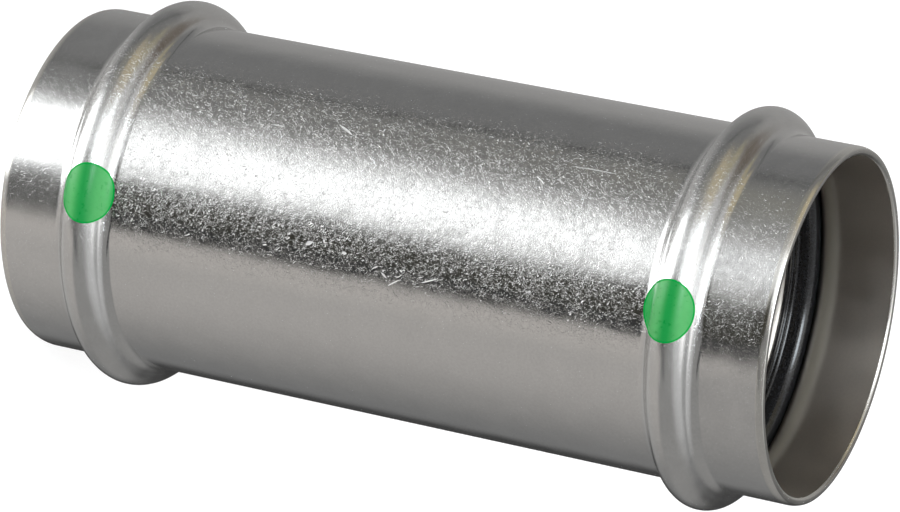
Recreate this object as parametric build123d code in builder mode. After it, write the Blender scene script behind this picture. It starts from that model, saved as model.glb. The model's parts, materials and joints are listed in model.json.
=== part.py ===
from build123d import *
import math
import os

# Stainless steel slip coupling for a 54 mm pipe: one tube with a press bead rolled near each end,
# a rubber seal ring with a ribbed lip in each bead, and a green dot printed on each bead.
# Millimetres. +Z runs along the tube, which stands on its lower end: the origin is that end's centre.

# Tube
pipe_diameter = 54.0  # outside of the pipe that slides in from either end
pipe_clearance = 0.2  # gap round that pipe
wall = 1.5
coupling_length = 134.4

# Cut ends, each turned in a little on the outside by the cutting wheel
end_turn_length = 1.2  # along the tube
end_turn_depth = 0.3  # how much smaller the tube is at its end face
outer_edge_radius = 0.2  # rounding of the end face, outside
inner_edge_radius = 0.5  # and inside

# Press beads, each rolled outwards round its seal
bead_inset = 15.6  # end face to the middle of the bead
bead_root_radius = 2.0  # hollow where the bead leaves the tube, outside

# Seal rings
seal_cord = 3.85  # thickness of the rubber cord
seal_pipe_clearance = 0.05  # a free seal just lets the pipe by
seal_groove_clearance = 0.05  # gap between the cord and the groove behind it
seal_lip_reach = 3.1  # middle of the cord to the end of the lip, towards the middle of the coupling
seal_lip_thickness = 0.6  # the lip's inner face is flush with the bore
seal_rib_radius = 0.18  # ribs moulded round the lip's inner face
seal_rib_sink = 0.05  # how far their middles lie in the lip
seal_rib_reaches = (1.5, 2.2)  # middle of the cord to each rib

# Marking dots, printed on the outside of the beads on the -Y side
dot_height = 8.3  # along the tube
dot_width = 9.9  # round the tube
dot_thickness = 0.08
dot_inset = 16.4  # end face to the middle of the dot
dot_tilt = 14.0  # degrees above square from which the pad prints

# Tube radii
bore_radius = pipe_diameter / 2 + pipe_clearance
tube_radius = bore_radius + wall
end_turn_radius = (end_turn_length**2 + end_turn_depth**2) / (2 * end_turn_depth)
end_turn_angle = math.degrees(math.asin(end_turn_length / end_turn_radius))

# Bead section: the crest arc is centred on the seal's cord, and each root arc meets it without a corner
seal_radius = pipe_diameter / 2 + seal_pipe_clearance + seal_cord / 2
groove_arc = seal_cord / 2 + seal_groove_clearance
crest_arc = groove_arc + wall
crest_radius = seal_radius + crest_arc
lip_radius = bore_radius + seal_lip_thickness / 2
rib_middle_radius = bore_radius + seal_rib_sink
root_radius = tube_radius + bead_root_radius
crest_to_root = crest_arc + bead_root_radius
root_angle = math.degrees(math.acos((root_radius - seal_radius) / crest_to_root))
bead_half_width = crest_to_root * math.sin(math.radians(root_angle))
bead_centres = {"lower": bead_inset, "upper": coupling_length - bead_inset}
dot_centres = {"lower": dot_inset, "upper": coupling_length - dot_inset}
print_direction = (0, -math.cos(math.radians(dot_tilt)), math.sin(math.radians(dot_tilt)))


def bead_line(centre, outset):
    """Draws a bead upwards, from root to crest to root, this far out from its outer face."""
    root_arc = bead_root_radius - outset
    CenterArc((root_radius, centre - bead_half_width), root_arc, 180, -root_angle)
    CenterArc((seal_radius, centre), crest_arc + outset, -root_angle, 2 * root_angle)
    CenterArc((root_radius, centre + bead_half_width), root_arc, 180 + root_angle, -root_angle)


def wall_line(outset):
    """Draws the tube from end to end, this far out from its outer face, and returns its radius."""
    radius = tube_radius + outset
    start = 0
    for centre in bead_centres.values():
        Line((radius, start), (radius, centre - bead_half_width))
        bead_line(centre, outset)
        start = centre + bead_half_width
    Line((radius, start), (radius, coupling_length))
    return radius


def tube_section(inset, outset):
    """Fills the closed section between two such lines."""
    with BuildLine() as outline:
        inner_radius = wall_line(inset)
        outer_radius = wall_line(outset)
        for end in (0, coupling_length):
            Line((inner_radius, end), (outer_radius, end))
    make_face(outline.edges())


def end_trim(start, inward):
    """Cuts away the corner that is missing at a turned-in end, from where the turn starts to the end face."""
    end = start - inward * end_turn_length
    with BuildLine() as trim:
        CenterArc((tube_radius - end_turn_radius, start), end_turn_radius, 0, -inward * end_turn_angle)
        Line((tube_radius - end_turn_depth, end), (tube_radius, end))
        Line((tube_radius, end), (tube_radius, start))
    make_face(trim.edges(), mode=Mode.SUBTRACT)


def corners_at(sketch, radius):
    """The corners that this radius has at the lower and at the upper end."""
    ends = [(radius, 0), (radius, coupling_length)]
    return [sketch.vertices().sort_by_distance(end)[0] for end in ends]


# Coupling body: one rolled tube
with BuildPart() as coupling_body:
    with BuildSketch(Plane.XZ) as wall_section:
        tube_section(-wall, 0)
        end_trim(end_turn_length, 1)
        end_trim(coupling_length - end_turn_length, -1)
        fillet(corners_at(wall_section, bore_radius), radius=inner_edge_radius)
        fillet(corners_at(wall_section, tube_radius - end_turn_depth), radius=outer_edge_radius)
    revolve(axis=Axis.Z)


def build_seal(centre, inward):
    """A ring of rubber cord, loose in the bead's groove, with a ribbed lip along the bore."""
    end_radius = seal_lip_thickness / 2
    lip_length = seal_lip_reach - end_radius
    with BuildPart() as seal:
        with BuildSketch(Plane.XZ):
            with Locations((seal_radius, centre)):
                Circle(seal_cord / 2)
            with Locations((lip_radius, centre + inward * lip_length / 2)):
                Rectangle(seal_lip_thickness, lip_length)
            with Locations((lip_radius, centre + inward * lip_length)):
                Circle(end_radius)
            with Locations([(rib_middle_radius, centre + inward * reach) for reach in seal_rib_reaches]):
                Circle(seal_rib_radius)
        revolve(axis=Axis.Z)
    return seal.part


def build_dot(centre):
    """A thin printed oval that follows the bead over its crest and down both flanks."""
    with BuildPart() as dot:
        with BuildSketch(Plane.XZ):
            tube_section(0, dot_thickness)
        revolve(axis=Axis.Z)
        with BuildSketch(Plane((0, -seal_radius, centre), x_dir=(1, 0, 0), z_dir=print_direction)):
            Ellipse(dot_width / 2, dot_height / 2)
        extrude(amount=3 * crest_arc, both=True, mode=Mode.INTERSECT)
    return dot.part


os.makedirs("parts", exist_ok=True)
coupling_body.part.label = "coupling_body"
export_step(coupling_body.part, "parts/coupling_body.step")
for place, inward in {"lower": 1, "upper": -1}.items():
    pieces = {
        f"{place}_seal_ring": build_seal(bead_centres[place], inward),
        f"{place}_marking_dot": build_dot(dot_centres[place]),
    }
    for name, piece in pieces.items():
        piece.label = name
        export_step(piece, f"parts/{name}.step")
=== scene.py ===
"""Dresses the press coupling: finishes for its steel tube, rubber seals and printed dots, and a studio.

Everything is in metres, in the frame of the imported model: +Z runs along the tube, which stands on its lower
end, and the two marking dots face -Y. Bearings are degrees round the tube, counter-clockwise from +X as seen
from above. Surface marks are given in millimetres, on the tube unrolled at its outer radius: the way round
from +X, the height, and the distance from the axis.
"""

from __future__ import annotations

import json
import logging
import math
from dataclasses import dataclass
from enum import Enum
from typing import Sequence, Union

import bmesh
import bpy
from bmesh.types import BMesh
from bpy.types import Material, Node, NodeOutputs, NodeTree, Object
from bpy.types import NodeSocket as Socket
from mathutils import Matrix, Vector

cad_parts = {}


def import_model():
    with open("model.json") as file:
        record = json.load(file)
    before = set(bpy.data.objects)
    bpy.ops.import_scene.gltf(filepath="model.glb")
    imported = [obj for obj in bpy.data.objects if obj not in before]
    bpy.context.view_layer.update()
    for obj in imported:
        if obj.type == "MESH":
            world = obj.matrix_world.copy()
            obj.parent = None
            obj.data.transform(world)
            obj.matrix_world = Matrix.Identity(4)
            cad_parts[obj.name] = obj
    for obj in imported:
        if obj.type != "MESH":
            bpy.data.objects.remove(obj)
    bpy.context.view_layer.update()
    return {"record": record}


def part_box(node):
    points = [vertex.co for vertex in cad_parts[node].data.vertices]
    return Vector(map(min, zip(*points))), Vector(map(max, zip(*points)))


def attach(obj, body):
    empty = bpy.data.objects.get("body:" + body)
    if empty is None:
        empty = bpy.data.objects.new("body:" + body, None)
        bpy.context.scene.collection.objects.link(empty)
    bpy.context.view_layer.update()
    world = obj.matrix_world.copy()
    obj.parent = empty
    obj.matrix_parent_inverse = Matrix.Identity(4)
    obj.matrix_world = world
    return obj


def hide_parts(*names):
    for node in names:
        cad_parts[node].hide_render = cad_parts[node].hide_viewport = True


LOG = logging.getLogger("press_coupling")
MM = 0.001
TURN_STEPS = 256  # steps round the axis in the tube and the seals
DOT_OFFSET = 0.8 * MM  # how much nearer to the middle of the tube a dot lies than its bead

Sockets = dict[str, Socket]
Colour = tuple[float, float, float]
Feed = Union[Socket, float, Sequence[float]]
Outline = list[tuple[float, float]]

# Places on the tube, in millimetres
TUBE_RADIUS = 28.7
MIDDLE_HEIGHT = 67.2
BEAD_RISE = (28.8, 29.8)  # distances from the axis between which a bead's duller steel sets in
COLLAR_START = (54.0, 58.0)  # heights above or below the middle between which a collar's does

# Side that the tube has lain and slid on. Each fade says where it begins and ends, and the shares there.
RUBBED_MIDDLE = math.radians(-112) * TUBE_RADIUS
RUBBED_SIDES = (math.radians(20) * TUBE_RADIUS, math.radians(42) * TUBE_RADIUS, 1.0, 0.12)
RUBBED_FOOT = (8.0, 26.0, 0.25, 1.0)
RUBBED_TOP = (106.0, 116.0, 1.0, 0.5)
RUBBED_PATCHES = (0.36, 0.58, 0.7, 1.0)

# Cloudy variation, as clouds for each unit of place, finer layers, and how strong those are
STEEL_CLOUDS = (0.2, 3.0)
STEEL_GRAIN = (2.6, 3.0, 0.7)
STEEL_WAVES = (0.16, 1.0)
FLECK_BENDS = (0.9, 0.0)
FLECK_GRAIN = (1.0, 1.0)
RUBBED_CLOUDS = (0.25, 2.0)
RUBBER_GRAIN = (3.0, 3.0)
INK_FILM = (1.3, 3.0)
PAPER_FIBRES = (900.0, 3.0)
CLOUD_REACH = (0.3, 0.7)  # nearly all of a cloud's values lie between these
CLOUD_MIDDLE = (0.5, 0.5, 0.5)

# Tones that such variation gives a colour
CLOUD_TONES = (0.98, 1.02)
GRAIN_TONES = (0.97, 1.03)
RUBBER_TONES = (0.7, 1.4)

MARK_EDGE = 0.6  # share of a single mark over which it fades out
# A dot's darker stripe is a painted reflection of the bead's dark band
CREST_REFLECTION_STRIPE = (0.2, 2.2)  # from the crest, where a dot's darker stripe fades
INK_EDGE = (2.3, 4.0)  # and where the colour of its edge sets in


class Skin(Enum):
    """Parts of the tube wall that are finished differently, in the order of the tube's material slots."""

    OUTSIDE = 0
    CUT_END = 1
    BORE = 2


# Node laying


@dataclass(frozen=True)
class Bench:
    """Lays nodes in one node tree and wires them."""

    tree: NodeTree

    def feed(self, socket: Socket, value: Feed) -> None:
        """Wires a socket, or sets its value.

        Args:
            socket: The input to feed.
            value: A node's output, a number or a colour.
        """
        if isinstance(value, Socket):
            self.tree.links.new(value, socket)
        elif isinstance(value, (int, float)):
            socket.default_value = value
        else:
            values = tuple(value)
            socket.default_value = values + (1.0,) if socket.type == "RGBA" and len(values) == 3 else values

    def wire(self, node: Node, **values: Feed) -> NodeOutputs:
        """Feeds a node.

        Args:
            node: The node.
            **values: Its inputs, with low lines for the spaces in their names.

        Returns:
            The node's outputs.
        """
        for name, value in values.items():
            self.feed(node.inputs[name.replace("_", " ")], value)
        return node.outputs

    def node(self, kind: str, **settings: object) -> Node:
        """Adds a node.

        Args:
            kind: Blender's type name, without its ShaderNode prefix.
            **settings: Properties of the node.

        Returns:
            The new node.
        """
        node = self.tree.nodes.new("ShaderNode" + kind)
        for name, value in settings.items():
            setattr(node, name, value)
        return node

    def math(self, operation: str, *values: Feed) -> Socket:
        """Works out a sum on numbers, by Blender's name for it."""
        node = self.node("Math", operation=operation)
        for socket, value in zip(node.inputs, values):
            self.feed(socket, value)
        return node.outputs[0]

    def product(self, first: Feed, *others: Feed) -> Feed:
        """Multiplies numbers."""
        for other in others:
            first = self.math("MULTIPLY", first, other)
        return first

    def away(self, value: Feed, middle: Feed) -> Socket:
        """Measures how far a number is from another."""
        return self.math("ABSOLUTE", self.math("SUBTRACT", value, middle))

    def vector(self, operation: str, *values: Feed) -> Socket:
        """Works out a sum on vectors, by Blender's name for it. The second value of SCALE is a number."""
        node = self.node("VectorMath", operation=operation)
        second = node.inputs["Scale" if operation == "SCALE" else 1]
        for socket, value in zip((node.inputs[0], second), values):
            self.feed(socket, value)
        return node.outputs["Value" if operation in ("DOT_PRODUCT", "LENGTH") else "Vector"]

    def split(self, vector: Feed) -> NodeOutputs:
        """Takes a vector apart into its three numbers."""
        return self.wire(self.node("SeparateXYZ"), Vector=vector)

    def join(self, x: Feed, y: Feed, z: Feed) -> Socket:
        """Makes a vector of three numbers."""
        return self.wire(self.node("CombineXYZ"), X=x, Y=y, Z=z)[0]

    def ramp(self, value: Feed, low: Feed, high: Feed, start: Feed = 0.0, end: Feed = 1.0) -> Socket:
        """Goes softly from one value to another.

        Args:
            value: What is measured.
            low: Where the change begins.
            high: Where the change ends.
            start: Result up to low.
            end: Result from high on.

        Returns:
            The eased result.
        """
        node = self.node("MapRange", interpolation_type="SMOOTHSTEP", clamp=True)
        return self.wire(node, Value=value, From_Min=low, From_Max=high, To_Min=start, To_Max=end)["Result"]

    def blend(self, share: Feed, first: Feed, second: Feed) -> Socket:
        """Mixes two colours, with this share of the second."""
        node = self.node("Mix", data_type="RGBA")
        for index, value in ((0, share), (6, first), (7, second)):  # by number, as the names aren't unique
            self.feed(node.inputs[index], value)
        return node.outputs[2]

    def noise(self, where: Feed, scale: float, detail: float, roughness: float = 0.5) -> NodeOutputs:
        """Adds cloudy variation.

        Args:
            where: Position.
            scale: Clouds per unit of position.
            detail: How many finer layers it has.
            roughness: How strong those are.

        Returns:
            Its outputs: the clouds, and their colours.
        """
        return self.wire(self.node("TexNoise"), Vector=where, Scale=scale, Detail=detail, Roughness=roughness)

    def spread(self, clouds: Feed, low: float, high: float) -> Socket:
        """Spreads cloudy variation between two values."""
        return self.ramp(clouds, *CLOUD_REACH, low, high)

    def emboss(self, shader: Node, height: Feed, distance: float, strength: float = 1.0) -> None:
        """Gives a shader relief.

        Args:
            shader: The shader.
            height: Height of its surface.
            distance: Length of one unit of height.
            strength: How much of it shows.
        """
        bump = self.wire(self.node("Bump"), Strength=strength, Distance=distance, Height=height)
        self.wire(shader, Normal=bump["Normal"])

    def place(self, group: NodeTree, **values: Feed) -> NodeOutputs:
        """Places a node group, feeds it as wire does, and gives its outputs."""
        return self.wire(self.node("Group", node_tree=group), **values)


def new_group(
    name: str, inputs: dict[str, float | Colour], outputs: Sequence[str] = ("Mask",), kind: str = "Float"
) -> tuple[Bench, Sockets, Sockets]:
    """Starts a shader node group.

    Args:
        name: Name of the group.
        inputs: Each input with its usual value. A triple makes a vector.
        outputs: Names of its outputs.
        kind: What they give, Float or Vector.

    Returns:
        A bench on the group's tree, the sockets that bring its inputs, and those that take its outputs.
    """
    tree = bpy.data.node_groups.new(name, "ShaderNodeTree")
    for label, usual in inputs.items():
        usual_kind = "Float" if isinstance(usual, float) else "Vector"
        socket = tree.interface.new_socket(label, in_out="INPUT", socket_type="NodeSocket" + usual_kind)
        socket.default_value = usual
    for label in outputs:
        tree.interface.new_socket(label, in_out="OUTPUT", socket_type="NodeSocket" + kind)
    entry = tree.nodes.new("NodeGroupInput")
    leave = tree.nodes.new("NodeGroupOutput")
    into = {label: entry.outputs[label] for label in inputs}
    return Bench(tree), into, {label: leave.inputs[label] for label in outputs}


def new_material(name: str) -> tuple[Material, Bench, Node]:
    """Starts a material, and gives it with a bench on its tree and its Principled shader."""
    material = bpy.data.materials.new(name)
    material.use_nodes = True
    return material, Bench(material.node_tree), material.node_tree.nodes["Principled BSDF"]


class Effects:
    """Surface effects that several materials share, each built once as a node group."""

    def __init__(self) -> None:
        """Builds every effect."""
        self.tube_place = self._tube_place()
        self.single_mark = self._single_mark()
        self.flecks = self._flecks()

    @staticmethod
    def _tube_place() -> NodeTree:
        """Builds the group that says where on the tube a point is, in millimetres.

        Returns:
            A group that gives the place, and the place on the unrolled tube.
        """
        outputs = ("Place", "Unrolled")
        bench, into, out = new_group("tube place", {"Radius": TUBE_RADIUS}, outputs, "Vector")
        place = bench.vector("SCALE", bench.node("TexCoord").outputs["Object"], 1 / MM)
        x, y, height = bench.split(place)
        way_round = bench.product(bench.math("ARCTAN2", y, x), into["Radius"])
        from_axis = bench.vector("LENGTH", bench.vector("MULTIPLY", place, (1, 1, 0)))
        bench.feed(out["Place"], place)
        bench.feed(out["Unrolled"], bench.join(way_round, height, from_axis))
        return bench.tree

    @staticmethod
    def _flecks() -> NodeTree:
        """Builds the group for a layer of small flecks that are drawn out in one direction.

        Returns:
            A group that gives a mask, 1 in the middle of each fleck.
        """
        inputs = {"Unrolled": (0, 0, 0), "Slant": 0.0, "Length": 1.0, "Width": 0.3, "Level": 0.6, "Soft": 0.1}
        bench, into, out = new_group("flecks", inputs)
        turn = bench.join(0.0, 0.0, into["Slant"])
        size = bench.join(into["Length"], into["Width"], into["Width"])
        mapping = bench.node("Mapping", vector_type="TEXTURE")
        drawn = bench.wire(mapping, Vector=into["Unrolled"], Rotation=turn, Scale=size)[0]
        grain = bench.noise(drawn, *FLECK_GRAIN)[0]
        full = bench.math("ADD", into["Level"], into["Soft"])
        bench.feed(out["Mask"], bench.ramp(grain, into["Level"], full))
        return bench.tree

    @staticmethod
    def _single_mark() -> NodeTree:
        """Builds the group for one spindle-shaped mark at a given place on the unrolled tube.

        Returns:
            A group that gives a mask, 1 in the middle of the mark.
        """
        inputs = {"Unrolled": (0, 0, 0), "Middle": (0, 0, 0), "Run": (1, 0, 0), "Side": (0, 1, 0)}
        bench, into, out = new_group("single mark", inputs)
        offset = bench.vector("SUBTRACT", into["Unrolled"], into["Middle"])
        run = bench.vector("DOT_PRODUCT", offset, into["Run"])
        side = bench.math("ABSOLUTE", bench.vector("DOT_PRODUCT", offset, into["Side"]))
        taper = bench.math("SUBTRACT", 1.0, bench.product(run, run))
        bench.feed(out["Mask"], bench.ramp(bench.math("SUBTRACT", taper, side), 0.0, MARK_EDGE))
        return bench.tree


# Finishes


@dataclass(frozen=True)
class Flecks:
    """One layer of fine handling marks, in millimetres and degrees."""

    length: float
    width: float
    slant: float  # their direction, from 0 round the tube to 90 along it
    level: float  # how rare they are, from about 0.5 to 0.8
    soft: float  # how softly they begin
    depth: float  # how deep they are
    dulling: float  # how strongly they dull the steel

    def values(self) -> dict[str, float]:
        """Gives the inputs of its mask."""
        return {
            "Slant": math.radians(self.slant),
            "Length": 2 * self.length,
            "Width": 2 * self.width,
            "Level": self.level,
            "Soft": self.soft,
        }


@dataclass(frozen=True)
class Nick:
    """One distinct mark on the tube's outside, in millimetres and degrees."""

    bearing: float  # where it is round the tube
    height: float  # where it is along the tube
    length: float
    width: float  # its greatest width
    slant: float  # its direction, from 0 round the tube to 90 along it
    depth: float = 0.03

    def values(self) -> dict[str, Colour]:
        """Gives the inputs of its mask."""
        slant = math.radians(self.slant)
        run, side = 2 / self.length, 2 / self.width
        return {
            "Middle": (math.radians(self.bearing) * TUBE_RADIUS, self.height, 0.0),
            "Run": (math.cos(slant) * run, math.sin(slant) * run, 0.0),
            "Side": (-math.sin(slant) * side, math.cos(slant) * side, 0.0),
        }


@dataclass(frozen=True)
class SteelFinish:
    """A finish of the stainless steel."""

    name: str  # of its material
    colour: Colour  # colour at square view
    roughness: float  # usual roughness
    cloud: float  # how much the roughness varies over the surface
    ripple: float  # height of slow waves in the surface, in millimetres
    worn_colour: Colour = (0.64, 0.64, 0.63)  # colour in a mark
    worn_roughness: float = 0.6  # roughness in a mark
    flecks: tuple[Flecks, ...] = ()  # layers of fine marks
    waver: float = 1.1  # how far the flecks are bent out of line, in millimetres
    nicks: tuple[Nick, ...] = ()  # single marks
    # Where the pressing has opened the bore beside a bead and left it dull, and where its colour holds a
    # painted reflection of the opened bore's tilt, by the distances from the middle of the tube, in
    # millimetres
    flare: tuple[float, float] | None = None
    flare_soft: tuple[float, float] = (0.5, 0.9)  # how softly that begins and ends
    # colour of that band: a painted reflection of the opened bore's tilt
    flare_reflection_colour: Colour = (0.37, 0.345, 0.295)
    flare_roughness: float = 0.7
    bead_dulling: float = 0.0  # how much duller the rolling has left the beads
    collar_dulling: float = 0.0  # the same for the collars beyond them

    @staticmethod
    def rubbed_share(bench: Bench, unrolled: Feed) -> Socket:
        """Says how much a place has been rubbed, up to 1: most on the side that the tube has lain on."""
        way_round, height, _ = bench.split(unrolled)
        patches = bench.noise(unrolled, *RUBBED_CLOUDS)[0]
        return bench.product(
            bench.ramp(bench.away(way_round, RUBBED_MIDDLE), *RUBBED_SIDES),
            bench.ramp(height, *RUBBED_FOOT),
            bench.ramp(height, *RUBBED_TOP),
            bench.ramp(patches, *RUBBED_PATCHES),
        )

    def wear(
        self, bench: Bench, effects: Effects, tube: NodeOutputs, relief: Feed
    ) -> tuple[Socket, Socket]:
        """Lays the handling marks.

        Args:
            bench: The material's bench.
            effects: The shared effects.
            tube: Where on the tube a point is.
            relief: Height of the surface without them, in millimetres.

        Returns:
            How worn a place is, and the height of the surface with them.
        """
        unrolled = tube["Unrolled"]
        bends = bench.noise(tube["Place"], *FLECK_BENDS)["Color"]
        bends = bench.vector("SCALE", bench.vector("SUBTRACT", bends, CLOUD_MIDDLE), self.waver)
        bent = bench.vector("ADD", unrolled, bends)
        rubbed = self.rubbed_share(bench, unrolled)
        marks = []
        for layer in self.flecks:
            mask = bench.place(effects.flecks, Unrolled=bent, **layer.values())["Mask"]
            mask = bench.product(mask, rubbed)
            marks.append(bench.product(mask, layer.dulling))
            relief = bench.math("MULTIPLY_ADD", mask, -layer.depth, relief)
        for nick in self.nicks:
            mask = bench.place(effects.single_mark, Unrolled=unrolled, **nick.values())["Mask"]
            marks.append(mask)
            relief = bench.math("SUBTRACT", relief, bench.product(mask, nick.depth))
        worn = marks[0]
        for mask in marks[1:]:
            worn = bench.math("MAXIMUM", worn, mask)
        return worn, relief

    def material(self, effects: Effects) -> Material:
        """Makes the material."""
        material, bench, shader = new_material(self.name)
        tube = bench.place(effects.tube_place)
        _, height, from_axis = bench.split(tube["Unrolled"])
        from_middle = bench.away(height, MIDDLE_HEIGHT)
        clouds = bench.noise(tube["Place"], *STEEL_CLOUDS)[0]
        grain = bench.noise(tube["Place"], *STEEL_GRAIN)[0]
        tone = bench.product(bench.spread(clouds, *CLOUD_TONES), bench.spread(grain, *GRAIN_TONES))
        colour = bench.vector("SCALE", self.colour, tone)
        rough = bench.spread(clouds, self.roughness - self.cloud, self.roughness + self.cloud)
        relief = bench.product(bench.noise(tube["Place"], *STEEL_WAVES)[0], self.ripple)
        if self.bead_dulling:
            rough = bench.math("ADD", rough, bench.ramp(from_axis, *BEAD_RISE, 0.0, self.bead_dulling))
        if self.collar_dulling:
            rough = bench.math("ADD", rough, bench.ramp(from_middle, *COLLAR_START, 0.0, self.collar_dulling))
        if self.flecks or self.nicks:
            worn, relief = self.wear(bench, effects, tube, relief)
            rough = bench.math("ADD", rough, bench.product(worn, self.worn_roughness - self.roughness))
            colour = bench.blend(worn, colour, self.worn_colour)
        if self.flare:
            (begin, end), (begin_soft, end_soft) = self.flare, self.flare_soft
            flared = bench.product(
                bench.ramp(from_middle, begin - begin_soft, begin + begin_soft),
                bench.ramp(from_middle, end - end_soft, end + end_soft, 1.0, 0.0),
            )
            # Painted reflection: the band's khaki colour stands in for the light that the opened bore's tilt
            # catches
            colour = bench.blend(flared, colour, self.flare_reflection_colour)
            rough = bench.math("ADD", rough, bench.product(flared, self.flare_roughness - self.roughness))
        bench.wire(shader, Base_Color=colour, Roughness=rough, Metallic=1.0)
        bench.emboss(shader, relief, MM)
        return material


ROLLED_STEEL = SteelFinish(
    name="rolled_steel",
    colour=(0.60, 0.60, 0.595),
    roughness=0.12,
    cloud=0.03,
    ripple=0.07,
    bead_dulling=0.10,
    collar_dulling=0.06,
    flecks=(
        Flecks(0.32, 0.10, 62, 0.635, 0.07, 0.014, 0.15),
        Flecks(0.26, 0.09, 120, 0.635, 0.07, 0.014, 0.15),
        Flecks(0.28, 0.10, 25, 0.645, 0.07, 0.014, 0.15),
        Flecks(0.09, 0.08, 20, 0.48, 0.24, 0.006, 0.0),
        Flecks(0.40, 0.13, 85, 0.655, 0.07, 0.020, 0.30),
        Flecks(0.55, 0.20, 100, 0.69, 0.07, 0.035, 0.6),
    ),
    nicks=(
        Nick(-127.0, 56.5, 3.8, 0.45, 63),
        Nick(-129.9, 99.2, 8.3, 0.22, 91),
        Nick(-122.5, 91.4, 2.2, 0.25, 58),
        Nick(-123.8, 45.0, 2.6, 0.25, 89),
        Nick(-117.2, 70.9, 4.3, 0.18, 58),
        Nick(-88.0, 56.1, 1.5, 0.8, 119),
        Nick(-87.1, 62.4, 1.0, 0.6, 94),
        Nick(-82.7, 69.7, 1.4, 0.4, 52),
        Nick(-81.0, 71.5, 2.6, 0.25, 124),
        Nick(-83.9, 77.6, 3.3, 0.25, 113),
    ),
)

SAWN_STEEL = SteelFinish(name="sawn_steel", colour=(0.66, 0.65, 0.62), roughness=0.2, cloud=0.05, ripple=0.05)

SHADED_BORE_STEEL = SteelFinish(
    name="shaded_bore_steel",
    # Darker and browner than the outside steel's colour: painted shade inside the tube
    colour=(0.44, 0.405, 0.365),
    roughness=0.42,
    cloud=0.03,
    ripple=0.03,
    flare=(54.9, 57.3),
)


@dataclass(frozen=True)
class RubberFinish:
    """The seals' moulded rubber, lubricated and shiny."""

    colour: Colour = (0.012, 0.012, 0.013)
    roughness: tuple[float, float] = (0.08, 0.18)  # least and greatest roughness
    grain_depth: float = 0.02 * MM  # depth of its grain
    grain_strength: float = 0.3  # how much of that shows

    def material(self, effects: Effects) -> Material:
        """Makes the material."""
        material, bench, shader = new_material("seal_rubber")
        grain = bench.noise(bench.place(effects.tube_place)["Place"], *RUBBER_GRAIN)[0]
        colour = bench.vector("SCALE", self.colour, bench.spread(grain, *RUBBER_TONES))
        bench.wire(shader, Base_Color=colour, Roughness=bench.spread(grain, *self.roughness))
        bench.emboss(shader, grain, self.grain_depth, self.grain_strength)
        return material


@dataclass(frozen=True)
class InkFinish:
    """The printed dots' ink, with a painted dark reflection along the bead's crest and painted highlights
    beside it.
    """

    name: str  # of its material
    # painted highlight: the flanks' lighter, whiter colour
    flank_highlight_colour: Colour  # colour beside the crest
    # painted reflection: the darker colour along the crest, where the bead mirrors a dark band
    crest_reflection_colour: Colour  # colour over the crest
    edge_colour: Colour  # colour towards the edge of the dot
    # Middles of the two darker stripes of painted reflection, by their heights along the tube, in millimetres
    dark_reflection_heights: tuple[float, float] = (17.0, 119.2)
    roughness: tuple[float, float] = (0.27, 0.33)  # least and greatest roughness
    gloss: float = 0.25  # how strongly it mirrors

    def material(self, effects: Effects) -> Material:
        """Makes the material."""
        material, bench, shader = new_material(self.name)
        tube = bench.place(effects.tube_place)
        film = bench.noise(tube["Place"], *INK_FILM)[0]
        height = bench.split(tube["Unrolled"])[1]
        aside = bench.math("MINIMUM", *(bench.away(height, crest) for crest in self.dark_reflection_heights))
        # Painted reflection along the crest, painted highlights on the flanks
        colour = bench.blend(bench.ramp(aside, *CREST_REFLECTION_STRIPE), self.crest_reflection_colour, self.flank_highlight_colour)
        colour = bench.blend(bench.ramp(aside, *INK_EDGE), colour, self.edge_colour)
        colour = bench.vector("SCALE", colour, bench.spread(film, *GRAIN_TONES))
        rough = bench.spread(film, *self.roughness)
        bench.wire(shader, Base_Color=colour, Roughness=rough, Specular_IOR_Level=self.gloss)
        return material


DOT_INK = InkFinish(
    name="dot_ink",
    flank_highlight_colour=(0.078, 0.37, 0.112),
    crest_reflection_colour=(0.008, 0.2385, 0.046),
    edge_colour=(0.014, 0.34, 0.064),
)
DOT_BORDER_INK = InkFinish(
    name="dot_border_ink",
    flank_highlight_colour=(0.008, 0.33, 0.056),
    crest_reflection_colour=(0.003, 0.27, 0.046),
    edge_colour=(0.003, 0.31, 0.05),
    gloss=0.0,
)


# The coupling


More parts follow.
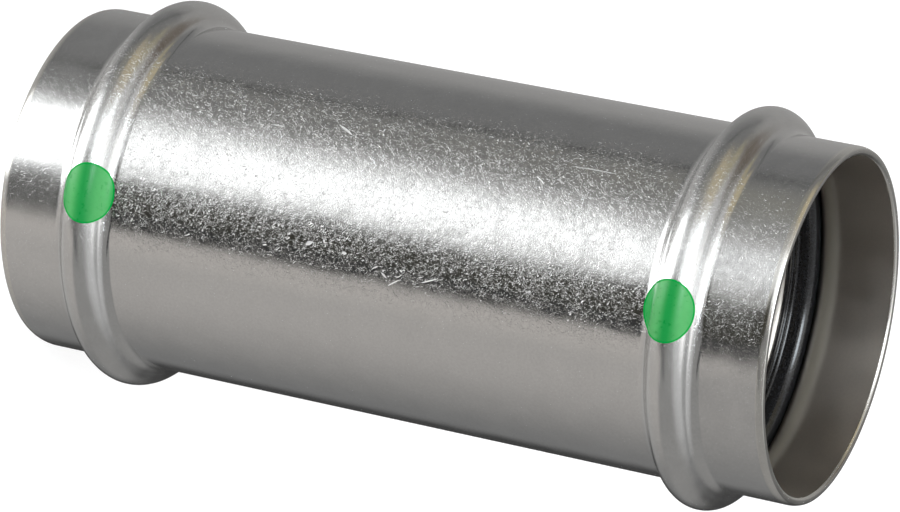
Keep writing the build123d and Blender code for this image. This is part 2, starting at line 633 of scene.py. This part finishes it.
@dataclass(frozen=True)
class CouplingSizes:
    """Sizes of the coupling, in metres, read from the frame where the frame holds them."""

    length: float  # of the tube
    bore_radius: float  # inside of the tube
    seal_radius: float  # centre of the seal's cord
    crest_radius: float  # highest point of a bead
    lower_bead: float  # height of the lower bead's middle
    upper_bead: float  # height of the upper bead's middle
    seal_cord: float = 3.85 * MM  # thickness of the seal's cord
    wall: float = 1.5 * MM
    root_arc: float = 2.0 * MM  # hollow where a bead leaves the tube, outside
    end_turn_length: float = 1.2 * MM  # length of the turned-in part at each end
    end_turn_depth: float = 0.3 * MM  # how much smaller the tube is at its end faces
    outer_edge: float = 0.2 * MM  # rounding of the end faces, outside
    inner_edge: float = 0.5 * MM  # rounding of the end faces, inside

    @classmethod
    def from_frame(cls, record: dict) -> CouplingSizes:
        """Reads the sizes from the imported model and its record, which holds the bore's radius."""
        bore = next(mount for mount in record["mounts"] if mount["name"] == "pipe_bore")
        body_low, body_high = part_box("coupling_body")
        lower_low, lower_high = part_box("lower_seal_ring")
        upper_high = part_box("upper_seal_ring")[1]
        return cls(
            length=body_high[2] - body_low[2],
            bore_radius=bore["dims"]["r_mm"] * MM,
            seal_radius=lower_high[0] - cls.seal_cord / 2,
            crest_radius=body_high[0],
            lower_bead=lower_low[2] + cls.seal_cord / 2,
            upper_bead=upper_high[2] - cls.seal_cord / 2,
        )

    @property
    def tube_radius(self) -> float:
        """Outside of the tube."""
        return self.bore_radius + self.wall

    @property
    def crest_arc(self) -> float:
        """Radius of a bead's crest, outside."""
        return self.crest_radius - self.seal_radius

    @property
    def root_angle(self) -> float:
        """Turn of each root arc, in radians."""
        drop = self.tube_radius + self.root_arc - self.seal_radius
        return math.acos(drop / (self.crest_arc + self.root_arc))

    @property
    def bead_half_width(self) -> float:
        """From a bead's middle to where it leaves the tube."""
        return (self.crest_arc + self.root_arc) * math.sin(self.root_angle)

    def end_edge(self, steps: int) -> Outline:
        """Draws the outside of a cut end, from the plain tube over the turned-in part to the end face.

        Args:
            steps: Number of chords of each arc.

        Returns:
            Points as (radius, distance from the end face).
        """
        turn_radius = (self.end_turn_length**2 + self.end_turn_depth**2) / (2 * self.end_turn_depth)
        middle = (self.tube_radius - turn_radius, self.end_turn_length)
        reach = turn_radius - self.outer_edge
        down = self.end_turn_length - self.outer_edge
        edge_turn = math.asin(down / reach)
        edge_middle = (middle[0] + reach * math.cos(edge_turn), self.outer_edge)
        turn = arc(middle, turn_radius, 0, -edge_turn, steps)
        return turn[:-1] + arc(edge_middle, self.outer_edge, -edge_turn, edge_turn - math.pi / 2, steps)

    def skin_radius(self, height: float) -> float:
        """Gives the radius of the outer skin at a height along the tube."""
        away = min(abs(height - self.lower_bead), abs(height - self.upper_bead))
        if away >= self.bead_half_width:
            return self.tube_radius
        if away <= self.crest_arc * math.sin(self.root_angle):
            return self.seal_radius + math.sqrt(self.crest_arc**2 - away**2)
        from_tube = self.bead_half_width - away
        return self.tube_radius + self.root_arc - math.sqrt(self.root_arc**2 - from_tube**2)


def arc(centre: tuple[float, float], radius: float, start: float, turn: float, steps: int) -> Outline:
    """Gives points along an arc.

    Args:
        centre: Centre as (radius, height).
        radius: Radius of the arc.
        start: Start angle in radians, from straight out.
        turn: Signed angle covered.
        steps: Number of chords.

    Returns:
        Points as (radius, height), both ends included.
    """
    angles = [start + turn * step / steps for step in range(steps + 1)]
    return [(centre[0] + radius * math.cos(a), centre[1] + radius * math.sin(a)) for a in angles]


def add_piece(name: str, form: BMesh) -> Object:
    """Turns worked geometry into a smooth-shaded object, and frees it."""
    mesh = bpy.data.meshes.new(name)
    bmesh.ops.recalc_face_normals(form, faces=form.faces)
    form.to_mesh(mesh)
    form.free()
    mesh.polygons.foreach_set("use_smooth", [True] * len(mesh.polygons))
    piece = bpy.data.objects.new(name, mesh)
    bpy.context.scene.collection.objects.link(piece)
    return piece


def turned_form(outline: Outline, skins: Sequence[int]) -> BMesh:
    """Turns a closed outline round the tube's axis.

    Args:
        outline: Closed outline as (radius, height).
        skins: Material slot of the face that starts at each point of the outline.

    Returns:
        The turned geometry.
    """
    form = bmesh.new()
    rings = []
    for step in range(TURN_STEPS):
        angle = math.tau * step / TURN_STEPS
        cosine, sine = math.cos(angle), math.sin(angle)
        rings.append([form.verts.new((r * cosine, r * sine, z)) for r, z in outline])
    for ring, following in zip(rings, rings[1:] + rings[:1]):
        for index, skin in enumerate(skins):
            after = (index + 1) % len(outline)
            face = form.faces.new((ring[index], following[index], following[after], ring[after]))
            face.material_index = skin
    return form


@dataclass
class Body:
    """The rolled tube with its two beads."""

    sizes: CouplingSizes
    arc_steps: int = 14  # chords of a root arc, and of half a crest
    edge_steps: int = 6  # chords of each arc at a cut end

    def wall_line(self, outset: float) -> Outline:
        """Follows the wall from the lower to the upper end.

        Args:
            outset: How far out from the tube's outer face the line runs.

        Returns:
            Points as (radius, height), without the two ends.
        """
        s = self.sizes
        root_radius = s.tube_radius + s.root_arc
        turn = s.root_angle
        root = s.root_arc - outset
        points: Outline = []
        for bead in (s.lower_bead, s.upper_bead):
            below = (root_radius, bead - s.bead_half_width)
            above = (root_radius, bead + s.bead_half_width)
            crest = arc((s.seal_radius, bead), s.crest_arc + outset, -turn, 2 * turn, 2 * self.arc_steps)
            points += arc(below, root, math.pi, -turn, self.arc_steps) + crest[1:-1]
            points += arc(above, root, math.pi + turn, -turn, self.arc_steps)
        return points

    def outline(self) -> tuple[Outline, list[int]]:
        """Draws the wall's closed section.

        Returns:
            Its points, and the skin of the face that starts at each.
        """
        s = self.sizes
        quarter = math.pi / 2
        steps = self.edge_steps
        edge = s.end_edge(steps)
        inside = s.bore_radius + s.inner_edge
        upper_inside = arc((inside, s.length - s.inner_edge), s.inner_edge, quarter, quarter, steps)
        lower_inside = arc((inside, s.inner_edge), s.inner_edge, 2 * quarter, quarter, steps)
        runs: list[tuple[Outline, Skin]] = [
            (edge[::-1], Skin.CUT_END),
            (self.wall_line(0), Skin.OUTSIDE),
            ([(radius, s.length - along) for radius, along in edge], Skin.CUT_END),
            (upper_inside, Skin.CUT_END),
            (self.wall_line(-s.wall)[::-1], Skin.BORE),
            (lower_inside, Skin.CUT_END),
        ]
        points: Outline = []
        skins: list[int] = []
        for run, skin in runs:
            if skin is not Skin.CUT_END and skins:
                skins[-1] = skin.value
            points += run
            skins += [skin.value] * len(run)
        return points, skins

    def build(self, effects: Effects) -> Object:
        """Builds and dresses the tube."""
        points, skins = self.outline()
        piece = add_piece("rolled_tube", turned_form(points, skins))
        for finish in (ROLLED_STEEL, SAWN_STEEL, SHADED_BORE_STEEL):
            piece.data.materials.append(finish.material(effects))
        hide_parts("coupling_body")
        return piece


@dataclass
class Seal:
    """One ring of rubber cord with a ribbed lip along the bore."""

    sizes: CouplingSizes
    name: str
    node: str  # the solid that it stands for
    height: float  # of its cord's middle
    inward: int  # 1 where the middle of the coupling lies above it, -1 where below
    lip_reach: float = 3.1 * MM  # from the cord's middle to the end of the lip
    lip_thickness: float = 0.6 * MM
    rib_radius: float = 0.18 * MM
    rib_sink: float = 0.05 * MM  # how far the ribs' middles lie in the lip
    rib_reaches: tuple[float, ...] = (1.5 * MM, 2.2 * MM)  # from the cord's middle to each rib
    cord_steps: int = 48  # chords of each arc
    rib_steps: int = 10
    lip_steps: int = 12

    def section(self) -> Outline:
        """Draws the rubber's section.

        Returns:
            Points as (radius, distance from the cord's middle towards the middle of the coupling).
        """
        s = self.sizes
        cord = s.seal_cord / 2
        lip_end = self.lip_thickness / 2
        inner, outer = s.bore_radius - s.seal_radius, s.bore_radius + self.lip_thickness - s.seal_radius
        start, end = math.acos(outer / cord), math.acos(inner / cord)
        points = arc((s.seal_radius, 0.0), cord, start, end - start - math.tau, self.cord_steps)
        rib_start = math.acos(-self.rib_sink / self.rib_radius)
        for reach in self.rib_reaches:
            middle = (s.bore_radius + self.rib_sink, reach)
            points += arc(middle, self.rib_radius, -rib_start, 2 * rib_start - math.tau, self.rib_steps)
        middle = (s.bore_radius + lip_end, self.lip_reach - lip_end)
        return points + arc(middle, lip_end, math.pi, -math.pi, self.lip_steps)

    def build(self, rubber: Material) -> Object:
        """Builds and dresses the ring."""
        section = [(radius, self.height + self.inward * along) for radius, along in self.section()]
        piece = add_piece(self.name, turned_form(section, [0] * len(section)))
        piece.data.materials.append(rubber)
        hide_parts(self.node)
        return piece


@dataclass
class Dot:
    """One oval printed over a bead."""

    sizes: CouplingSizes
    name: str
    node: str  # the solid that it stands for
    height: float  # of its middle
    half_height: float = 4.15 * MM
    half_width: float = 4.95 * MM
    tilt: float = math.radians(14.0)  # from how far above square it is printed
    film: float = 0.08 * MM  # thickness of the ink
    rings: int = 36  # from its middle to its edge
    border_rings: int = 2  # how many of these have the border's ink
    spokes: int = 96  # points of each ring
    search: tuple[float, float] = (-6.0 * MM, 8.0 * MM)  # where the bead's face is sought, along the print
    halvings: int = 40  # steps of that search

    def on_skin(self, across: float, up: float, lift: float) -> Vector:
        """Prints one point of the oval onto the bead.

        Args:
            across: Distance from the oval's middle, to the side.
            up: Distance from the oval's middle, towards its top.
            lift: How far above the bead the point lies.

        Returns:
            The point.
        """
        s = self.sizes
        outward = Vector((0, -math.cos(self.tilt), math.sin(self.tilt)))
        upward = Vector((0, math.sin(self.tilt), math.cos(self.tilt)))
        base = Vector((across, -s.seal_radius, self.height)) + upward * up
        near, far = self.search
        for _ in range(self.halvings):
            middle = (near + far) / 2
            point = base + outward * middle
            if math.hypot(point.x, point.y) < s.skin_radius(point.z) + lift:
                near = middle
            else:
                far = middle
        return base + outward * near

    def build(self, inks: Sequence[Material]) -> Object:
        """Builds and dresses the dot, whose second ink is its border's."""
        form = bmesh.new()
        angles = [math.tau * spoke / self.spokes for spoke in range(self.spokes)]
        layers = []
        for lift in (0.0, self.film):
            middle = form.verts.new(self.on_skin(0, 0, lift))
            circles = []
            for ring in range(1, self.rings + 1):
                wide, tall = self.half_width * ring / self.rings, self.half_height * ring / self.rings
                points = [self.on_skin(wide * math.cos(a), tall * math.sin(a), lift) for a in angles]
                circles.append([form.verts.new(point) for point in points])
            layers.append((middle, circles))
        for middle, circles in layers:
            for spoke in range(self.spokes):
                after = (spoke + 1) % self.spokes
                form.faces.new((middle, circles[0][spoke], circles[0][after]))
                for ring, (inner, outer) in enumerate(zip(circles, circles[1:]), start=2):
                    face = form.faces.new((inner[spoke], outer[spoke], outer[after], inner[after]))
                    face.material_index = int(ring > self.rings - self.border_rings)
        below, above = layers[0][1][-1], layers[1][1][-1]
        for spoke in range(self.spokes):
            after = (spoke + 1) % self.spokes
            form.faces.new((below[spoke], below[after], above[after], above[spoke])).material_index = 1
        piece = add_piece(self.name, form)
        for ink in inks:
            piece.data.materials.append(ink)
        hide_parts(self.node)
        return piece


# Studio


@dataclass(frozen=True)
class Board:
    """A lit board, lamp box or dark flag of the studio, by the directions in which the metal sees it."""

    name: str  # what it is
    bearing: float  # of its middle, in degrees
    left: float  # its left edge, in degrees from the middle
    left_soft: float  # how softly that edge fades
    right: float  # its right edge
    right_soft: float  # how softly that edge fades
    low: float  # its lower edge, as the height of the direction from -1 straight down to 1 straight up
    high: float  # its upper edge
    level_soft: float  # how softly these two fade
    colour: Colour
    strength: float  # its light
    lean: float = 0.0  # how far its top leans aside, in degrees for each unit of height

    def values(self) -> dict[str, float]:
        """Gives the inputs of its mask."""
        edges = {"Left": (self.left, self.left_soft), "Right": (self.right, self.right_soft)}
        values = {"Middle": math.radians(self.bearing), "Lean": math.radians(self.lean)}
        for name, (at, soft) in edges.items():
            values[name + "_From"] = math.radians(at - soft / 2)
            values[name + "_To"] = math.radians(at + soft / 2)
        for name, at in (("Low", self.low), ("High", self.high)):
            values[name + "_From"] = at - self.level_soft / 2
            values[name + "_To"] = at + self.level_soft / 2
        return values


@dataclass(frozen=True)
class RoundLamp:
    """A round lamp box of the studio, by the directions in which the metal sees it."""

    name: str  # what it is
    bearing: float  # of its middle, in degrees
    level: float  # height of its middle, from -1 straight down to 1 straight up
    wide: float  # from its middle to its side, in degrees
    tall: float  # from its middle to its top, as a level
    inner: float  # where it begins to fade, as a share of these two
    outer: float  # where it has faded
    colour: Colour
    strength: float  # its light

    def values(self) -> dict[str, float]:
        """Gives the inputs of its mask."""
        return {
            "Middle": math.radians(self.bearing),
            "Middle_Level": self.level,
            "Wide": math.radians(self.wide),
            "Tall": self.tall,
            "Inner": self.inner,
            "Outer": self.outer,
        }


ALL_ROUND = 400.0  # degrees from the middle: no edge at that side
OPEN = 3.0  # level: no edge above, or below
LEAN_LEVEL = -0.41  # where a leaning board has its own bearing
WHITE = (1.0, 1.0, 1.0)
LAMP_WHITE = (0.985, 1.0, 1.01)
WALL_WHITE = (1.0, 0.985, 0.965)

# Later ones cover earlier ones
LIGHTS: tuple[Board | RoundLamp, ...] = (
    Board("pale table", 0, -ALL_ROUND, 1, ALL_ROUND, 1, -OPEN, -0.75, 0.7, (1.0, 0.985, 0.96), 0.66),
    Board("side wall", -10, -62, 24, 60, 50, -0.28, OPEN, 0.3, WALL_WHITE, 0.365),
    Board("ceiling", 0, -ALL_ROUND, 1, ALL_ROUND, 1, 0.72, OPEN, 0.3, WHITE, 0.70),
    Board("zenith lamp", 0, -ALL_ROUND, 1, ALL_ROUND, 1, 0.955, OPEN, 0.04, WHITE, 1.8),
    Board("back wall", 112, -24, 22, 26, 26, -0.5, 0.7, 0.5, WALL_WHITE, 0.42),
    Board("brown board", -250, -23, 20, 34, 40, 0.52, 0.86, 0.16, (1.0, 0.82, 0.66), 0.18),
    Board("pale wall", -125, -28, 14, 37, 16, 0.08, 0.62, 0.22, (1.0, 0.96, 0.90), 0.66),
    Board("golden board", -168, -17, 12, 15, 10, 0.06, 0.72, 0.2, (1.0, 0.87, 0.60), 0.62),
    Board("golden board's far part", -190, -20, 16, 6, 6, 0.46, 0.74, 0.2, (1.0, 0.9, 0.62), 0.48),
    Board("lower fill", -20, -44.4, 3, 27, 80, -OPEN, -0.30, 0.24, (1.0, 0.96, 0.92), 0.57),
    Board("fill's near edge", -55, -9.4, 3, 4, 16, -OPEN, -0.26, 0.2, (1.0, 0.95, 0.90), 0.66),
    Board("dark gap", 69, -15, 18, 16, 14, -0.8, 0.4, 0.3, WHITE, 0.06),
    Board("khaki wall", -162, -14, 14, 10, 16, -0.40, 0.05, 0.06, (1.0, 0.98, 0.88), 0.32),
    Board("lamp glow", -122, -26, 32, 24.5, 6, -OPEN, 0.1, 0.3, (1.0, 0.995, 0.955), 0.49),
    Board("lamp's lower edge", -119, -22, 28, 19.5, 4, -OPEN, -0.40, 0.10, LAMP_WHITE, 1.27),
    Board("lamp's upper edge", -120, -12, 18, 12, 16, -0.40, 0.06, 0.12, LAMP_WHITE, 1.02),
    RoundLamp("main lamp", -118, -0.9, 38, 0.542, 0.6, 1.0, LAMP_WHITE, 4.5),
    Board("lamp's upper part", -117, -17, 8, 17, 8, 0.08, 0.46, 0.12, LAMP_WHITE, 1.7),
    Board("upper lamp", -120, -28, 40, 40, 40, 0.60, OPEN, 0.3, WHITE, 2.0),
    Board("strip lamp", -108, -20, 16, 16, 16, 0.54, 0.80, 0.10, (0.86, 0.94, 1.0), 13.0),
    Board("dark flag", -77.5, -15.5, 5, 10.9, 3, -0.52, 0.12, 0.16, (1.0, 0.95, 0.76), 0.06, lean=-35),
    Board(
        "dark flag's lower half", -77.5, 1.0, 5, 10.9, 3, -0.52, 0.12, 0.16, (0.95, 0.96, 1.0), 0.055, lean=38
    ),
    Board("stand", -181, -2.2, 3, 2.2, 3, -0.6, 0.2, 0.1, WHITE, 0.06, lean=-69),
)


@dataclass
class Studio:
    """Floor, backdrop, surroundings and camera."""

    sizes: CouplingSizes
    lens: float = 190.34  # the camera's focal length, in millimetres
    distance: float = 771.6 * MM  # from the camera to where it aims
    bearing: float = -94.67  # of the camera, in degrees
    elevation: float = 23.62  # its height above the level, in degrees
    roll: float = 101.43  # how far it is turned about its line of sight, in degrees
    # How far beside the middle of the coupling it aims, in the picture's two directions
    aim: tuple[float, float] = (0.41 * MM, -1.04 * MM)
    clip: tuple[float, float] = (0.01, 24.0)  # nearest and farthest that it sees
    reach: float = 6.0  # radius of the floor
    backdrop_reach: float = 5.88  # radius of the backdrop
    floor_glow: float = 0.84  # light of the floor's own
    floor_base: float = 0.30  # how much of the studio's light it returns
    ambient: float = 0.24  # light between the lamps and boards

    def camera(self) -> None:
        """Places the camera as the photograph was taken, rolled so that the tube runs from left to right."""
        data = bpy.data.cameras.new("camera")
        data.lens = self.lens
        data.clip_start, data.clip_end = self.clip
        camera = bpy.data.objects.new("camera", data)
        bpy.context.scene.collection.objects.link(camera)
        bearing, elevation = math.radians(self.bearing), math.radians(self.elevation)
        level = math.cos(elevation)
        towards = Vector((level * math.cos(bearing), level * math.sin(bearing), math.sin(elevation)))
        look = (-towards).to_track_quat("-Z", "Y").to_matrix()
        turn = look @ Matrix.Rotation(math.radians(self.roll), 3, "Z")
        aim = Vector((0, 0, self.sizes.length / 2)) + turn @ Vector((*self.aim, 0))
        camera.matrix_world = Matrix.Translation(aim + towards * self.distance) @ turn.to_4x4()
        bpy.context.scene.camera = camera

    @staticmethod
    def _white(name: str, glow: float, base: float) -> Material:
        """Makes a white paper that stays white in the camera.

        Args:
            name: Name of the material.
            glow: Light of its own.
            base: How much of the studio's light it returns.

        Returns:
            The material.
        """
        material, bench, shader = new_material(name)
        fibres = bench.noise(bench.node("TexCoord").outputs["Object"], *PAPER_FIBRES)[0]
        bench.wire(
            shader,
            Base_Color=(base,) * 3,
            Roughness=bench.spread(fibres, 0.85, 0.95),
            Specular_IOR_Level=0.0,
            Emission_Color=WHITE,
            Emission_Strength=glow,
        )
        return material

    def stage(self) -> None:
        """Lays the white floor and hangs the white backdrop round it, both for the camera only."""
        ground, dome = bmesh.new(), bmesh.new()
        bmesh.ops.create_circle(ground, cap_ends=True, segments=96, radius=self.reach)
        bmesh.ops.create_uvsphere(dome, u_segments=64, v_segments=32, radius=self.backdrop_reach)
        papers = (("floor", ground, self.floor_glow, self.floor_base), ("backdrop", dome, 1.0, 0.0))
        for name, form, glow, base in papers:
            paper = add_piece(name, form)
            paper.data.materials.append(self._white(name + "_paper", glow, base))
            for ray in ("diffuse", "glossy", "transmission", "shadow", "volume_scatter"):
                setattr(paper, "visible_" + ray, False)

    @staticmethod
    def _board_mask() -> NodeTree:
        """Builds the group that says where a board is.

        Returns:
            A group that gives a soft-edged mask for a direction.
        """
        names = [f"{side} {end}" for side in ("Left", "Right", "Low", "High") for end in ("From", "To")]
        inputs = dict.fromkeys(("Bearing", "Level", "Middle", "Lean", *names), 0.0)
        bench, into, out = new_group("studio board", inputs)
        level = into["Level"]
        above = bench.math("SUBTRACT", level, LEAN_LEVEL)
        middle = bench.math("MULTIPLY_ADD", above, into["Lean"], into["Middle"])
        aside = bench.math("WRAP", bench.math("SUBTRACT", into["Bearing"], middle), math.pi, -math.pi)
        edges = [("Left", aside, (0.0, 1.0)), ("Right", aside, (1.0, 0.0))]
        edges += [("Low", level, (0.0, 1.0)), ("High", level, (1.0, 0.0))]
        fades = [bench.ramp(at, into[edge + " From"], into[edge + " To"], *ends) for edge, at, ends in edges]
        bench.feed(out["Mask"], bench.product(*fades))
        return bench.tree

    @staticmethod
    def _lamp_mask() -> NodeTree:
        """Builds the group that says where a round lamp is.

        Returns:
            A group that gives a soft-edged mask for a direction.
        """
        names = ("Bearing", "Level", "Middle", "Middle Level", "Wide", "Tall", "Inner", "Outer")
        bench, into, out = new_group("round lamp", dict.fromkeys(names, 0.5))
        aside = bench.math("SUBTRACT", into["Bearing"], into["Middle"])
        aside = bench.math("DIVIDE", bench.math("WRAP", aside, math.pi, -math.pi), into["Wide"])
        above = bench.math("SUBTRACT", into["Level"], into["Middle Level"])
        above = bench.math("DIVIDE", above, into["Tall"])
        squares = (bench.product(aside, aside), bench.product(above, above))
        reach = bench.math("SQRT", bench.math("ADD", *squares))
        bench.feed(out["Mask"], bench.ramp(reach, into["Inner"], into["Outer"], 1.0, 0.0))
        return bench.tree

    def surroundings(self) -> None:
        """Hangs the lamps and boards that the metal reflects, all round and at a plain level."""
        world = bpy.data.worlds.new("studio")
        world.use_nodes = True
        world.cycles.sampling_method = "NONE"
        bpy.context.scene.world = world
        bench = Bench(world.node_tree)
        x, y, level = bench.split(bench.node("TexCoord").outputs["Generated"])
        bearing = bench.math("ARCTAN2", y, x)
        masks = {Board: self._board_mask(), RoundLamp: self._lamp_mask()}
        light: Feed = (self.ambient,) * 3
        for item in LIGHTS:
            mask = bench.place(masks[type(item)], Bearing=bearing, Level=level, **item.values())["Mask"]
            light = bench.blend(mask, light, tuple(c * item.strength for c in item.colour))
        bench.wire(world.node_tree.nodes["Background"], Color=light)


def main() -> None:
    """Builds the pieces and the studio in order."""
    logging.basicConfig(level=logging.INFO, format="%(message)s")
    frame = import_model()
    sizes = CouplingSizes.from_frame(frame["record"])
    effects = Effects()
    rubber = RubberFinish().material(effects)
    inks = [finish.material(effects) for finish in (DOT_INK, DOT_BORDER_INK)]
    pieces = [Body(sizes).build(effects)]
    for place, bead, inward in (("lower", sizes.lower_bead, 1), ("upper", sizes.upper_bead, -1)):
        seal = Seal(sizes, f"{place}_lipped_seal", f"{place}_seal_ring", bead, inward)
        dot = Dot(sizes, f"{place}_dot_print", f"{place}_marking_dot", bead + inward * DOT_OFFSET)
        pieces += [seal.build(rubber), dot.build(inks)]
    for piece in pieces:
        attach(piece, "root")
        LOG.info("%s: %d faces, rides on root", piece.name, len(piece.data.polygons))
    studio = Studio(sizes)
    studio.camera()
    studio.stage()
    studio.surroundings()
    bpy.context.scene.view_settings.view_transform = "Standard"


if __name__ == "__main__":
    main()
